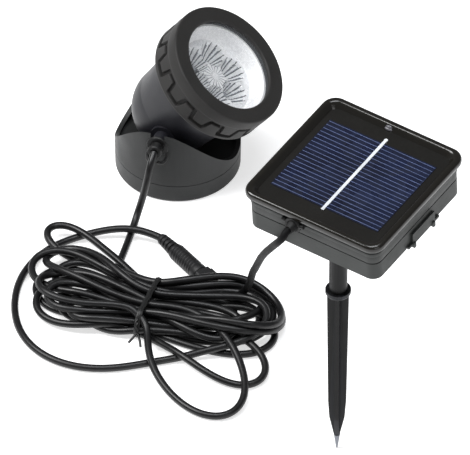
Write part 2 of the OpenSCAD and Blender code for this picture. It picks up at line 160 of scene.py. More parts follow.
# painted shade on the one chrome reflector: a dark metal for the pleat valleys and the rings round the cup floors, a
# grey half-shade metal for one side of each pleat and thin stripes on the centre land
M["pleat"] = material("reflector_painted_shade_m", rgb(38, 41, 46), 0.25, metallic=0.5, spec=0.6, grain=0.05, grain_mm=1.5, vary=0.05)
M["facet"] = material("reflector_painted_half_shade_m", rgb(150, 155, 162), 0.16, metallic=0.4, spec=0.7, grain=0.05, grain_mm=1.5, vary=0.05)
M["chrome"] = material("reflector_chrome_m", rgb(252, 253, 255), 0.15, metallic=0.15, spec=0.8, grain=0.05, grain_mm=1.5, vary=0.03, rough_var=0.04)
M["wall"] = material("reflector_wall_m", rgb(254, 254, 255), 0.30, metallic=0.0, spec=0.6, grain=0.05, grain_mm=1.5, vary=0.03, rough_var=0.04)
M["board"] = material("board_green_m", rgb(24, 74, 44), 0.35, spec=0.5, grain=0.2, grain_mm=1.1, vary=0.2, vary_mm=4)
M["led"] = glass("led_clear_m", rgb(150, 156, 162), 0.05, 0.78)
M["relief"] = material("relief_rubber_m", rgb(19, 19, 19), 0.5, spec=0.38, grain=0.4, grain_mm=0.4)
M["cable"] = material("cable_black_m", rgb(17, 17, 18), 0.36, spec=0.42, grain=0.18, grain_mm=0.7, vary=0.14, vary_mm=20, rough_var=0.07)
M["lead"] = material("cable_matt_m", rgb(13, 13, 14), 0.6, spec=0.12, grain=0.2, grain_mm=0.7, vary=0.14, vary_mm=20, rough_var=0.05)
M["plug"] = material("plug_black_m", rgb(27, 27, 28), 0.50, spec=0.38, grain=0.4, grain_mm=0.45, vary=0.1, wear=0.35)
M["brass"] = material("pin_brass_m", rgb(214, 206, 178), 0.25, metallic=1, grain=0.1, grain_mm=0.5)
M["tie"] = material("tie_black_m", rgb(22, 22, 22), 0.42, spec=0.45, grain=0.4, grain_mm=0.35, wear=0.2)
M["gloss"] = material("panel_gloss_m", rgb(22, 20, 16), 0.16, spec=0.5, grain=0.12, grain_mm=1.0, vary=0.08, vary_mm=25, rough_var=0.05, scratch=0.15)
M["grey"] = material("panel_grey_m", rgb(47, 49, 48), 0.5, spec=0.28, grain=0.35, grain_mm=0.5, vary=0.06, wear=0.3)
M["bboard"] = material("board_black_m", rgb(24, 23, 21), 0.2, spec=0.4, grain=0.06, grain_mm=1.6, vary=0.08, vary_mm=25, rough_var=0.04)
M["silver"] = material("busbar_silver_m", rgb(236, 240, 244), 0.42, metallic=0.35, grain=0.3, grain_mm=0.4, vary=0.1)
M["sensor"] = material("sensor_grey_m", rgb(88, 87, 92), 0.3, spec=0.5, grain=0.2, grain_mm=0.4)
M["jacket"] = material("cell_jacket_m", rgb(42, 118, 66), 0.25, spec=0.5, grain=0.1, grain_mm=0.8, vary=0.05)
M["button"] = material("button_black_m", rgb(38, 38, 38), 0.6, spec=0.35, grain=0.4, grain_mm=0.4)
M["spring"] = material("spring_steel_m", rgb(190, 190, 192), 0.25, metallic=1, grain=0.2, grain_mm=0.4)
M["stake"] = material("stake_black_m", rgb(12, 12, 13), 0.42, spec=0.2, grain=0.3, grain_mm=0.6, vary=0.12, wear=0.25, wear_colour=rgb(92, 94, 104))
M["tip"] = material("tip_steel_m", rgb(128, 131, 138), 0.3, metallic=0.8, grain=0.2, grain_mm=0.5, vary=0.1)

def cell_material():
    """Crystalline silicon under clear resin: navy, with crystal flecks that catch the light differently."""
    m = bpy.data.materials.new("cell_blue_m"); m.use_nodes = True
    nt = m.node_tree; nd = nt.nodes; lk = nt.links; b = nd["Principled BSDF"]
    b.inputs["Specular IOR Level"].default_value = 0.32
    b.inputs["Coat Weight"].default_value = 0.12; b.inputs["Coat Roughness"].default_value = 0.06
    tc = nd.new("ShaderNodeTexCoord")
    v = nd.new("ShaderNodeTexVoronoi"); v.inputs["Scale"].default_value = 160; v.feature = 'F1'
    n = nd.new("ShaderNodeTexNoise"); n.inputs["Scale"].default_value = 28; n.inputs["Detail"].default_value = 4
    for k in (v, n): lk.new(tc.outputs["Object"], k.inputs["Vector"])
    r = nd.new("ShaderNodeValToRGB")
    r.color_ramp.elements[0].position = 0.25; r.color_ramp.elements[0].color = rgb(10, 14, 31)
    r.color_ramp.elements[1].position = 0.8; r.color_ramp.elements[1].color = rgb(20, 28, 54)
    lk.new(n.outputs["Fac"], r.inputs["Fac"])
    sep = nd.new("ShaderNodeSeparateColor"); lk.new(v.outputs["Color"], sep.inputs["Color"])
    mr = nd.new("ShaderNodeMapRange"); mr.inputs["To Min"].default_value = 0.75; mr.inputs["To Max"].default_value = 1.25
    lk.new(sep.outputs["Red"], mr.inputs["Value"])
    mx = nd.new("ShaderNodeMix"); mx.data_type = 'RGBA'; mx.blend_type = 'MULTIPLY'; mx.inputs["Factor"].default_value = 1
    lk.new(r.outputs["Color"], mx.inputs["A"]); lk.new(mr.outputs["Result"], mx.inputs["B"])
    lk.new(mx.outputs["Result"], b.inputs["Base Color"])
    r3 = nd.new("ShaderNodeMapRange"); r3.inputs["To Min"].default_value = 0.22; r3.inputs["To Max"].default_value = 0.38
    lk.new(sep.outputs["Green"], r3.inputs["Value"]); lk.new(r3.outputs["Result"], b.inputs["Roughness"])
    return m
M["cell"] = cell_material()
M["finger"] = material("finger_silver_m", rgb(104, 118, 160), 0.35, metallic=0.3, spec=0.5, grain=0.2, grain_mm=0.4, vary=0.12)

# ---------------------------------------------------------------- mesh helpers
def smooth(me, angle=35):
    me.polygons.foreach_set("use_smooth", [True] * len(me.polygons))
    me.set_sharp_from_angle(angle=math.radians(angle))
def build(name, verts, faces, matrix, mat, body=None, slot=None, angle=35, second=None, pick=None):
    """verts in mm in the local frame of matrix; the mesh ends up in metres in the row frame."""
    v = np.array(verts, float)
    mt = np.array(matrix)
    v = (v @ mt[:3, :3].T + mt[:3, 3]) * MM
    me = bpy.data.meshes.new(name)
    me.from_pydata(v.tolist(), [], [list(map(int, f)) for f in faces])
    me.validate()
    bm = bmesh.new(); bm.from_mesh(me); bmesh.ops.recalc_face_normals(bm, faces=bm.faces); bm.to_mesh(me); bm.free()
    me.materials.append(mat)
    if second is not None:
        me.materials.append(second)
        for p in me.polygons: p.material_index = 1 if pick(p.center) else 0
    smooth(me, angle)
    o = bpy.data.objects.new(name, me)
    scene.collection.objects.link(o)
    if body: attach(o, body)
    return o
def rings(loops, closed=False, caps=True, base=0):
    """faces joining loops of the same length; loops are lists of points"""
    n = len(loops[0]); m = len(loops)
    verts = [p for l in loops for p in l]
    faces = []
    for i in range(m if closed else m - 1):
        a = i * n; b = ((i + 1) % m) * n
        for k in range(n):
            k2 = (k + 1) % n
            faces.append((base + a + k, base + a + k2, base + b + k2, base + b + k))
    if caps and not closed:
        faces.append(tuple(base + k for k in reversed(range(n))))
        faces.append(tuple(base + (m - 1) * n + k for k in range(n)))
    return verts, faces
def lathe(profile, n, closed=False, axis='z'):
    """profile is (r, z); open profiles are capped at both ends"""
    loops = []
    for r, z in profile:
        r = max(r, 0.02)
        loops.append([((r * math.cos(2 * math.pi * k / n), r * math.sin(2 * math.pi * k / n), z) if axis == 'z' else
                       (z, r * math.cos(2 * math.pi * k / n), r * math.sin(2 * math.pi * k / n))) for k in range(n)])
    return rings(loops, closed)
def rrect(w, d, r, z, per=8, edge=1):
    pts = []
    for cx, cy, a0 in ((1, 1, 0), (-1, 1, 90), (-1, -1, 180), (1, -1, 270)):
        for k in range(per + 1):
            a = math.radians(a0 + 90 * k / per)
            pts.append((cx * (w / 2 - r) + r * math.cos(a), cy * (d / 2 - r) + r * math.sin(a), z))
    return pts
def tube(path, radius, sides, cap=True):
    p = np.array(path, float); m = len(p)
    t = np.zeros_like(p); t[1:-1] = p[2:] - p[:-2]; t[0] = p[1] - p[0]; t[-1] = p[-1] - p[-2]
    t /= np.linalg.norm(t, axis=1)[:, None]
    u = np.cross(t[0], [0, 0, 1.0] if abs(t[0][2]) < 0.9 else [1.0, 0, 0]); u /= np.linalg.norm(u)
    loops = []
    rad = np.broadcast_to(np.array(radius, float), (m,))
    for i in range(m):
        u = u - t[i] * (u @ t[i]); u /= np.linalg.norm(u)
        v = np.cross(t[i], u)
        loops.append([tuple(p[i] + rad[i] * (math.cos(2 * math.pi * k / sides) * u + math.sin(2 * math.pi * k / sides) * v)) for k in range(sides)])
    return rings(loops, False, cap)
def join(parts):
    V, F = [], []
    for v, f in parts:
        b = len(V); V += list(v); F += [tuple(b + i for i in q) for q in f]
    return V, F
def moved(part, m):
    v, f = part; mt = np.array(m)
    return [tuple(mt[:3, :3] @ np.array(p, float) + mt[:3, 3]) for p in v], f
def dress(node, mat, angle=32, bevel=0.0, seg=2):
    o = N[node]
    o.data.materials.clear(); o.data.materials.append(M[mat])
    for p in o.data.polygons: p.material_index = 0
    smooth(o.data, angle)
    if bevel:
        w = o.modifiers.new("edge", 'BEVEL'); w.width = bevel * MM; w.segments = seg; w.limit_method = 'ANGLE'
        w.angle_limit = math.radians(40); w.harden_normals = False; w.use_clamp_overlap = True
    return o

# ---------------------------------------------------------------- the long lead
D = 4.8                                 # cable diameter, mm
HANK = (32.0, -147.0, math.radians(5.6))
def W(u, v, z):
    c, s = math.cos(HANK[2]), math.sin(HANK[2])
    return [HANK[0] + u * c - v * s, HANK[1] + u * s + v * c, z]
def spline(pts, step, alpha=0.5):
    """centripetal Catmull-Rom through pts, resampled every step"""
    p = np.array(pts, float)
    p = np.vstack([2 * p[0] - p[1], p, 2 * p[-1] - p[-2]])
    out = []
    for i in range(1, len(p) - 2):
        q = p[i - 1:i + 3]
        t = np.concatenate([[0], np.cumsum(np.maximum(np.linalg.norm(np.diff(q, axis=0), axis=1), 1e-6) ** alpha)])
        x = np.linspace(t[1], t[2], 24, endpoint=False)[:, None]
        a1 = (t[1] - x) / (t[1] - t[0]) * q[0] + (x - t[0]) / (t[1] - t[0]) * q[1]
        a2 = (t[2] - x) / (t[2] - t[1]) * q[1] + (x - t[1]) / (t[2] - t[1]) * q[2]
        a3 = (t[3] - x) / (t[3] - t[2]) * q[2] + (x - t[2]) / (t[3] - t[2]) * q[3]
        b1 = (t[2] - x) / (t[2] - t[0]) * a1 + (x - t[0]) / (t[2] - t[0]) * a2
        b2 = (t[3] - x) / (t[3] - t[1]) * a2 + (x - t[1]) / (t[3] - t[1]) * a3
        out.append((t[2] - x) / (t[2] - t[1]) * b1 + (x - t[1]) / (t[2] - t[1]) * b2)
    out = np.vstack(out + [p[-2][None]])
    return resample(out, step)
def resample(p, step):
    s = np.concatenate([[0], np.cumsum(np.linalg.norm(np.diff(p, axis=0), axis=1))])
    n = max(2, int(round(s[-1] / step)) + 1)
    x = np.linspace(0, s[-1], n)
    return np.stack([np.interp(x, s, p[:, k]) for k in range(3)], 1)
LAMP = [[0,-46.5,46],[0,-50,45.6],[0,-54.5,43],[0,-57.5,38],[-1,-59,30],[-3,-59.5,20],[-5,-60,11],[-6,-63,5.5],[-6,-69,3],[-5,-78,2.6],[-4,-92,2.6],[-3,-106,2.6],[-2,-118,3]]
LOOP = [[45,-189,2.6],[30,-199,2.6],[12,-206,2.6],[-8,-207,2.6],[-26,-201,2.6],[-42,-187,2.6],[-52,-168,2.6],[-57,-148,2.6],[-57,-129,2.6],[-51,-111,2.6],[-41,-97,2.6],[-29,-88,3.5],[-17,-82.5,6.5],[-5,-79.5,8],[4,-78.6,7.4],[10,-78.4,6.4],[15.8,-79.9,6]]
FRONT = [[26,-166,8],[34,-178,8],[43,-190,8],[54,-201,6],[68,-213,3],[82,-221,2.6],[96,-225,2.6],[107,-222,2.6],[113,-212,2.6],[112,-198,2.6],[105,-184,2.6],[97,-172,5],[88,-162,9],[74,-154,11]]
SECOND = [W(8,-25,5), W(25,-35,3), W(44,-45,2.6), W(61,-51,2.6), W(74,-52,2.6), W(83,-43,2.6), W(83,-32,4), W(76,-22,6), W(62,-14,7)]
LOOSE = [W(-14,29,9), W(-32,41,8), W(-50,54,7), W(-65,64,6), W(-76,66,6), W(-84,59,6), W(-80,48,6), W(-62,40,7), W(-40,34,8), W(-20,28,9)]
TU = -2.0
def left(a, za, b, zb, ul, vc, r, ze):
    uc = ul + r
    return [W(TU, a, za), W(-16, a * .8 + (vc + r) * .2, za), W(uc + 6, vc + r * .96, ze), W(uc - .55 * r, vc + r * .8, ze), W(ul, vc, ze), W(uc - .55 * r, vc - r * .8, ze), W(uc + 6, vc - r * .96, ze), W(-16, b * .8 + (vc - r) * .2, zb), W(TU, b, zb)]
def right(b, zb, a, za, ur, vc, r, ze):
    uc = ur - r
    return [W(TU, b, zb), W(13, b * .8 + (vc - r) * .2, zb), W(uc - 6, vc - r * .96, ze), W(uc + .55 * r, vc - r * .8, ze), W(ur, vc, ze), W(uc + .55 * r, vc + r * .8, ze), W(uc - 6, vc + r * .96, ze), W(13, a * .8 + (vc + r) * .2, za), W(TU, a, za)]
Z1, Z2, Z3 = 2.5, 7.0, 11.5
def make_route():
    P = list(LAMP) + [W(-29, 10, Z1), W(-18, 0, Z1)]
    def add(q):
        P.extend(q[1:] if len(P) and np.linalg.norm(np.array(P[-1]) - np.array(q[0])) < 2 else q)
    add(right(-2.4, Z1, 17.2, Z1, 72, 6, 19, Z1))
    add(left(17.2, Z1, -17.1, Z1, -80, 12, 20, Z1))
    add(right(-17.1, Z1, 12.3, Z1, 83, -4, 22, Z1 + 1))
    add(left(12.3, Z1, -12.2, Z1, -70, 18, 17, Z1 + 3))
    add(right(-12.2, Z1, 7.4, Z1, 62, -4, 16, Z1 + 3))
    add(left(7.4, Z1, -7.3, Z1, -60, -4, 16, Z1 + 2))
    add(right(-7.3, Z1, 2.5, Z1, 54, 8, 15, Z1))
    add(left(2.5, Z1, -17.1, Z2, -66, 6, 17, Z1 + 2))
    add(right(-17.1, Z2, 14.7, Z2, 79, 8, 22, Z2))
    add(left(14.7, Z2, -14.7, Z2, -77, -4, 19, Z2))
    add([W(TU, -14.7, Z2)] + SECOND + [W(40, -7, Z2), W(26, 0, Z2), W(14, 4, Z2), W(TU, 4.9, Z2)])
    add(left(4.9, Z2, -9.8, Z2, -54, -8, 15, Z2 + 2))
    add(right(-9.8, Z2, 9.8, Z2, 71, 12, 19, Z2 + 3))
    add(left(9.8, Z2, -4.9, Z2, -85, 20, 18, Z2 + 3))
    add(right(-4.9, Z2, 0, Z2, 60, -8, 15, Z2 + 2))
    add(left(0, Z2, -7.3, Z3, -68, -6, 16, Z2 + 3))
    add(right(-7.3, Z3, 12.3, Z3, 85, 8, 25, Z2 + 4))
    add([W(TU, 17, Z3)] + LOOSE + [W(-10, 20, Z3), W(TU, 12.3, Z3), W(18, 20, Z3), W(38, 31, Z3), W(56, 34, Z3), W(71, 28, Z3), W(81, 13, Z3), W(83, -4, Z3), W(74, -18, Z3), W(52, -15, Z3), W(28, -5, Z3), W(12, 1, Z3)])
    add([W(TU, 2.5, Z3)] + left(2.5, Z3, -12.2, Z3, -76, 2, 17, Z3)[1:])
    P.extend(FRONT)
    P.extend([W(26, -4, Z3), W(10, -5, Z3), W(TU, -5, Z3), W(-16, -3, Z3)])
    P.extend([W(-40, 6, Z3), W(-58, 14, Z3), W(-73, 21, Z3), W(-78, 33, Z2 + 2), W(-69, 43, Z2 + 2), W(-54, 40, Z2 + 2), W(-38, 30, Z3), W(-16, 12, Z3), W(TU, 7.4, Z3)])
    P.extend([W(18, 8, Z3), W(40, 14, Z3), W(58, 18, Z3), W(72, 12, Z3), W(76, -2, Z3), W(68, -16, Z2), W(54, -22, 5)])
    P.extend([W(38, -29, 3)])
    P.extend(LOOP)
    return P
def seg_seg(p1, q1, p2, q2):
    d1, d2, r = q1 - p1, q2 - p2, p1 - p2
    a = (d1 * d1).sum(1); e = (d2 * d2).sum(1); f = (d2 * r).sum(1); c = (d1 * r).sum(1); b = (d1 * d2).sum(1)
    den = a * e - b * b
    s = np.where(den > 1e-6 * a * e, np.clip((b * f - c * e) / np.maximum(den, 1e-9), 0, 1), 0.5)
    t = (b * s + f) / e
    s = np.where(t < 0, np.clip(-c / a, 0, 1), np.where(t > 1, np.clip((b - c) / a, 0, 1), s))
    t = np.clip(t, 0, 1)
    return s, t
def relax(p, n, step, pin, floor=2.5, gravity=0.06, tether=0.012, hold=None, ku=0.06, tie=(21.5, 15.4)):
    p = p.copy(); home = p.copy(); m = len(p)
    c, s_ = math.cos(HANK[2]), math.sin(HANK[2])
    w = np.where(pin, 0.0, 1.0)
    dia = D * 1.01
    pairs = None
    for it in range(n):
        if it % 8 == 0:
            mid = (p[:-1] + p[1:]) / 2
            i, j = np.triu_indices(m - 1, 3)
            if it == 0: big = (i, j)
            else: i, j = big
            d2 = ((mid[i] - mid[j]) ** 2).sum(1)
            k = d2 < (step + dia + 2.5) ** 2
            k &= (j - i) > 3
            pairs = (i[k], j[k])
        g = gravity * (1 if it < n * .8 else .3)
        p[:, 2] -= g * w
        p += (home - p) * (tether if hold is None else hold[:, None]) * np.array([1, 1, 0]) * w[:, None]
        # bending: straighten the curve's fourth difference
        d4 = p[:-4] - 4 * p[1:-3] + 6 * p[2:-2] - 4 * p[3:-1] + p[4:]
        p[2:-2] -= ku * d4 * w[2:-2, None]
        d4 = p[:-12] - 4 * p[3:-9] + 6 * p[6:-6] - 4 * p[9:-3] + p[12:]
        p[6:-6] -= 0.022 * d4 * w[6:-6, None]
        # lengths
        for par in (0, 1):
            a, b = slice(par, m - 1, 2), slice(par + 1, m, 2)
            na = len(range(*a.indices(m))); nb = len(range(*b.indices(m))); q = min(na, nb)
            ia = np.arange(par, m - 1, 2)[:q]; ib = ia + 1
            d = p[ib] - p[ia]; L = np.linalg.norm(d, axis=1); ww = w[ia] + w[ib]
            cor = ((L - step) / np.maximum(L, 1e-6) / np.maximum(ww, 1e-6))[:, None] * d
            p[ia] += cor * w[ia][:, None]; p[ib] -= cor * w[ib][:, None]
        # collisions
        for rep in range(2):
            i, j = pairs
            S, T = seg_seg(p[i], p[i + 1], p[j], p[j + 1])
            A = p[i] * (1 - S)[:, None] + p[i + 1] * S[:, None]
            B = p[j] * (1 - T)[:, None] + p[j + 1] * T[:, None]
            d = A - B; L = np.linalg.norm(d, axis=1)
            k = L < dia
            i, j, S, T, d, L = i[k], j[k], S[k], T[k], d[k], L[k]
            if not len(i): break
            up = np.where(i < j, -1.0, 1.0)
            d = d + (L < .4)[:, None] * np.array([0, 0, 1.0]) * up[:, None]
            L = np.maximum(np.linalg.norm(d, axis=1), 1e-3)
            push = (dia - L)[:, None] * d / L[:, None] * .5
            wt = [(i, 1 - S, 1), (i + 1, S, 1), (j, 1 - T, -1), (j + 1, T, -1)]
            acc = np.zeros_like(p); cnt = np.zeros(m)
            for idx, k_, sg in wt:
                np.add.at(acc, idx, sg * push * k_[:, None]); np.add.at(cnt, idx, k_)
            p += acc / np.maximum(cnt, 1)[:, None] * 1.4 * w[:, None]
        # tie
        q = p - np.array([HANK[0], HANK[1], 0]); u = q[:, 0] * c + q[:, 1] * s_; v = -q[:, 0] * s_ + q[:, 1] * c
        near = (np.abs(u - TU) < 5) & (np.abs(v) < 34)
        lim = tie[0] - D / 2
        vv = np.where(near, np.clip(v, -lim, lim), v)
        dv = (vv - v) * w
        p[:, 0] -= dv * s_; p[:, 1] += dv * c
        p[:, 2] = np.where(near, np.minimum(p[:, 2], tie[1] - D / 2 + .9), p[:, 2])
        p[:, 2] = np.where(w > 0, np.maximum(p[:, 2], floor), p[:, 2])
    return p

STEP = 4.8
lead = spline(make_route(), STEP)
STEP = np.linalg.norm(np.diff(lead, axis=0), axis=1).sum() / (len(lead) - 1)
along = np.arange(len(lead)) * STEP
_r = lead - np.array([HANK[0], HANK[1], 0])
_u = _r[:, 0] * math.cos(HANK[2]) + _r[:, 1] * math.sin(HANK[2]); _v = -_r[:, 0] * math.sin(HANK[2]) + _r[:, 1] * math.cos(HANK[2])
hold = np.where((along < 200) | (along > along[-1] - 360) | (np.abs(_v) > 31) | ((_v > 22) & (_u < -20)) | ((_v > 24) & (_u > 10)), 0.12, 0.012)
lead = relax(lead, 460, STEP, (along < 115) | (along > along[-1] - 42), hold=hold)
for _ in range(4):      # a last light smoothing, ends held
    q = lead.copy(); q[1:-1] = lead[1:-1] * 0.5 + (lead[:-2] + lead[2:]) * 0.25
    lead = q
fine = spline(lead, 1.9)
cu = bpy.data.curves.new("lamp_cable", 'CURVE'); cu.dimensions = '3D'
sp = cu.splines.new('POLY'); sp.points.add(len(fine) - 1)
co = np.ones((len(fine), 4)); co[:, :3] = fine * MM
sp.points.foreach_set("co", co.ravel())
cu.bevel_depth = D / 2 * MM; cu.bevel_resolution = 4; cu.use_fill_caps = True
cu.materials.append(M["cable"])
lamp_cable = bpy.data.objects.new("lamp_cable", cu)
scene.collection.objects.link(lamp_cable)
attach(lamp_cable, "root")
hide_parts("lamp_lead", "lead_hank", "loop_lead", "front_loop")

# ---------------------------------------------------------------- the panel's lead
PANEL_ROUTE = [[165,-277.8,223.9],[164.2,-280.7,223.6],[163.5,-282,221.5],[160.5,-281,216.5],[156.5,-276.5,209],[151.5,-270,199],[145.5,-260.5,186],[137.5,-244.5,166],[128.5,-223.5,141],[119,-200,114],[108,-172.5,83],[98.5,-147,54],[91.5,-129.5,32],[87,-121.5,19.5],[82,-119.5,11],[76.4,-119.7,7],[70.3,-118.2,6]]
pr = spline(PANEL_ROUTE, 2.5)
panel_cable = build("panel_cable", *tube(pr, D / 2, 16), Matrix.Identity(4), M["lead"], None, "cable_black", angle=60)
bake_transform(panel_cable)
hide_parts("panel_lead")

# ---------------------------------------------------------------- plug and socket
prof = [(0, -0.6), (2.9, -0.6), (3.1, -0.2), (3.15, 0.6)]
for k in range(4):      # stepped, slotted relief
    x = 1.0 + k * 3.2; r = 3.35 + k * 0.24
    prof += [(r, x), (r + 0.35, x + 0.3), (r + 0.4, x + 1.9), (r + 0.1, x + 2.15), (3.0 + 0.1 * k, x + 2.3), (3.0 + 0.1 * k, x + 2.9)]
prof += [(4.5, 14.0), (5.0, 14.5), (5.2, 15.4)]
x = 16.2
while x < 36:           # grip rings
    prof += [(5.15, x), (5.55, x + 0.45), (5.6, x + 1.1), (5.15, x + 1.6), (5.08, x + 1.9)]
    x += 2.3
prof += [(5.3, 37.4), (5.5, 38), (5.6, 41.4), (5.4, 41.9), (3.6, 42), (3.3, 41.6), (3.1, 25), (0, 25)]
plug_body = build("plug_body", *lathe(prof, 48, axis='x'), PLUG, M["plug"], "root", "plug_black", angle=40)
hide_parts("plug")
def sbox(x0, x1, hw, hh, r, cham=0.5):
    """a rounded block along x, with small chamfers"""
    loops = []
    for x, s in ((x0, cham), (x0 + cham, 0), (x1 - cham, 0), (x1, cham)):
        loops.append([(x, p[0], p[1]) for p in rrect(2 * (hw - s), 2 * (hh - s), max(r - s * .5, .3), 0, 6)])
    return rings(loops)
tail = [(4.6, 52.5), (5.0, 53.2), (5.0, 54.2)]
for k in range(4):
    x = 54.6 + 2.6 * k; r = 4.75 - 0.35 * k
    tail += [(r, x), (r, x + 1.5), (r - 0.9, x + 1.75), (r - 0.95, x + 2.35)]
tail += [(3.2, 65.4), (3.0, 66), (0, 66)]
lug = sbox(43.6, 46.2, 6.0, 1.6, 0.5, 0.3)
parts = [sbox(43, 46.6, 5.6, 5.4, 2.2), sbox(46.2, 53.2, 6.0, 5.9, 1.8, 0.7), lathe([(0, 52)] + tail, 40, axis='x'),
         lathe([(0, 26), (2.7, 26), (2.9, 26.3), (2.9, 43.4), (0, 43.4)], 32, axis='x')]
socket_body = build("socket_body", *join(parts), PLUG, M["plug"], "root", "plug_black", angle=40)
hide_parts("socket")

# ---------------------------------------------------------------- the tie round the hank
cu_, su_ = math.cos(HANK[2]), math.sin(HANK[2])
rel = lead - np.array([HANK[0], HANK[1], 0])
lu = rel[:, 0] * cu_ + rel[:, 1] * su_; lv = -rel[:, 0] * su_ + rel[:, 1] * cu_
SKEW = 0.12
near = (np.abs(lu - (TU + SKEW * lv)) < 3.4) & (np.abs(lv) < 26) & (lead[:, 2] < 22)
cross = np.stack([lv[near], lead[near, 2]], 1)
def hull(pts):
    pts = sorted(map(tuple, pts)); out = []
    for seq in (pts, pts[::-1]):
        h = []
        for q in seq:
            while len(h) > 1 and (h[-1][0] - h[-2][0]) * (q[1] - h[-2][1]) - (h[-1][1] - h[-2][1]) * (q[0] - h[-2][0]) <= 0: h.pop()
            h.append(q)
        out += h[:-1]
    return np.array(out)
ang = np.linspace(0, 2 * math.pi, 17)[:-1]
ringp = np.vstack([cross + (D / 2 + 0.45) * np.array([math.cos(a), math.sin(a)]) for a in ang])
h = hull(ringp); h = np.vstack([h, h[:1]])
hs = np.concatenate([[0], np.cumsum(np.linalg.norm(np.diff(h, axis=0), axis=1))])
xs = np.linspace(0, hs[-1], 97)[:-1]
loop = np.stack([np.interp(xs, hs, h[:, 0]), np.interp(xs, hs, h[:, 1])], 1)
for _ in range(3): loop = loop * .5 + (np.roll(loop, 1, 0) + np.roll(loop, -1, 0)) * .25
loop[:, 1] = np.maximum(loop[:, 1], 0.75)
nrm = np.roll(loop, -1, 0) - np.roll(loop, 1, 0); nrm = np.stack([nrm[:, 1], -nrm[:, 0]], 1); nrm /= np.linalg.norm(nrm, axis=1)[:, None]
sec = [(-1.7, -.3), (-1.7, .05), (-1.2, .3), (-.6, .32), (-.35, .62), (.35, .62), (.6, .32), (1.2, .3), (1.7, .05), (1.7, -.3)]   # flat film over a wire core
tie_loops = []
for i in range(len(loop)):
    wob = 0.25 * math.sin(i * 0.9) + 0.15 * math.sin(i * 2.3)
    tie_loops.append([tuple(W(TU + SKEW * loop[i, 0] + a + wob, loop[i, 0] + nrm[i, 0] * (b + .1), max(loop[i, 1] + nrm[i, 1] * (b + .1), 0.12))) for a, b in sec])
tie_parts = [rings(tie_loops, closed=True)]
k0 = int(np.argmin(np.abs(loop[:, 0] - (loop[:, 0].min() + 2.5)) - loop[:, 1] * .4))
ka = W(TU + SKEW * loop[k0, 0], loop[k0, 0] + nrm[k0, 0] * 1.3, loop[k0, 1] + nrm[k0, 1] * 1.3)
def tail_path(pts): return spline([W(*q) for q in pts], 0.8)
v0, z0 = loop[k0, 0], loop[k0, 1]
twist = tail_path([(TU - 2.5, v0 + 1.0, z0 + 1.6), (TU - 2.4, v0 - 2.0, z0 + .4), (TU - 2.0, v0 - 4.2, z0 - 2.6), (TU - 1.4, v0 - 5.6, z0 - 5.2)])
for ph in (0, math.pi):
    pts = []
    for i, q in enumerate(twist):
        a = ph + i * 0.75
        pts.append((q[0] + 0.75 * math.cos(a), q[1] + 0.5 * math.sin(a), q[2] + 0.6 * math.sin(a)))
    tie_parts.append(tube(pts, 0.72, 10))
tie_parts.append(tube(tail_path([(TU - 1.6, v0 - 5.2, z0 - 4.6), (TU - 3.4, v0 - 8.0, z0 - 6.6), (TU - 5.6, v0 - 11.0, max(z0 - 8.6, 1.6))]), 0.78, 10))
tie_parts.append(tube(tail_path([(TU - 1.0, v0 - 5.2, z0 - 4.8), (TU + 1.0, v0 - 8.4, z0 - 7.0), (TU + 2.6, v0 - 12.4, max(z0 - 9.2, 1.4))]), 0.78, 10))
tie_band = build("tie_band", *join(tie_parts), Matrix.Identity(4), M["tie"], "root", "tie_black", angle=50)
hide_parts("twist_tie")

# ---------------------------------------------------------------- bezel ring
def bezel():
    n = 840; R = 42.0
    key = []                                   # the stepped groove, one period, as (arc fraction, z)
    periods = 12; per = 2 * math.pi * R / periods
    zr, zf = 38.3, 46.4
    key = [(0.00, zr), (0.38, zr), (0.46, zf), (0.86, zf), (0.94, zr), (1.00, zr)]
    seg = [((key[i][0] * per, key[i][1]), (key[i + 1][0] * per, key[i + 1][1])) for i in range(5)]
    def dist(s, z):
        best = 1e9
        for sh in (-per, 0, per):
            for (ax, az), (bx, bz) in seg:
                ax2, bx2 = ax + sh, bx + sh
                dx, dz = bx2 - ax2, bz - az
                t = max(0, min(1, ((s - ax2) * dx + (z - az) * dz) / (dx * dx + dz * dz)))
                best = min(best, math.hypot(s - ax2 - t * dx, z - az - t * dz))
        return best
    kper = n // periods
    zs = np.arange(35.1, 48.61, 0.32)
    table = np.zeros((len(zs), kper))
    for i, z in enumerate(zs):
        for k in range(kper):
            d = dist(k / kper * per, z)
            x = min(max((d - 1.05) / 0.45, 0), 1)
            table[i, k] = 2.1 * (1 - x * x * (3 - 2 * x))
    prof = [(33.5, 34.15), (33.9, 34.0), (41.1, 34.0), (41.75, 34.35)]
    loops = []
    def ring(r, z): loops.append([(r * math.cos(2 * math.pi * k / n), r * math.sin(2 * math.pi * k / n), z) for k in range(n)])
    for r, z in prof: ring(r, z)
    for i, z in enumerate(zs):
        loops.append([((R - 0.15 - table[i, k % kper]) * math.cos(2 * math.pi * k / n), (R - 0.15 - table[i, k % kper]) * math.sin(2 * math.pi * k / n), z) for k in range(n)])
    for r, z in [(R - .15, 48.9), (R - .02, 49.15), (R, 49.5), (R, 56.1), (R - .12, 56.6), (R - .45, 57.0), (R - .95, 57.2), (R - 1.4, 57.26),
                 (36.0, 57.38), (32.6, 57.4), (32.0, 57.3), (31.5, 57.0), (31.25, 56.6), (31.1, 56.1), (31.1, 55.55), (36.85, 55.5), (36.85, 35.5), (33.6, 35.4), (33.45, 35.2)]: ring(r, z)
    return rings(loops, closed=True)
bz = build("bezel_band", *bezel(), HEAD, M["bezel"], "bezel", "bezel_plastic", angle=60)
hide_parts("bezel_ring")

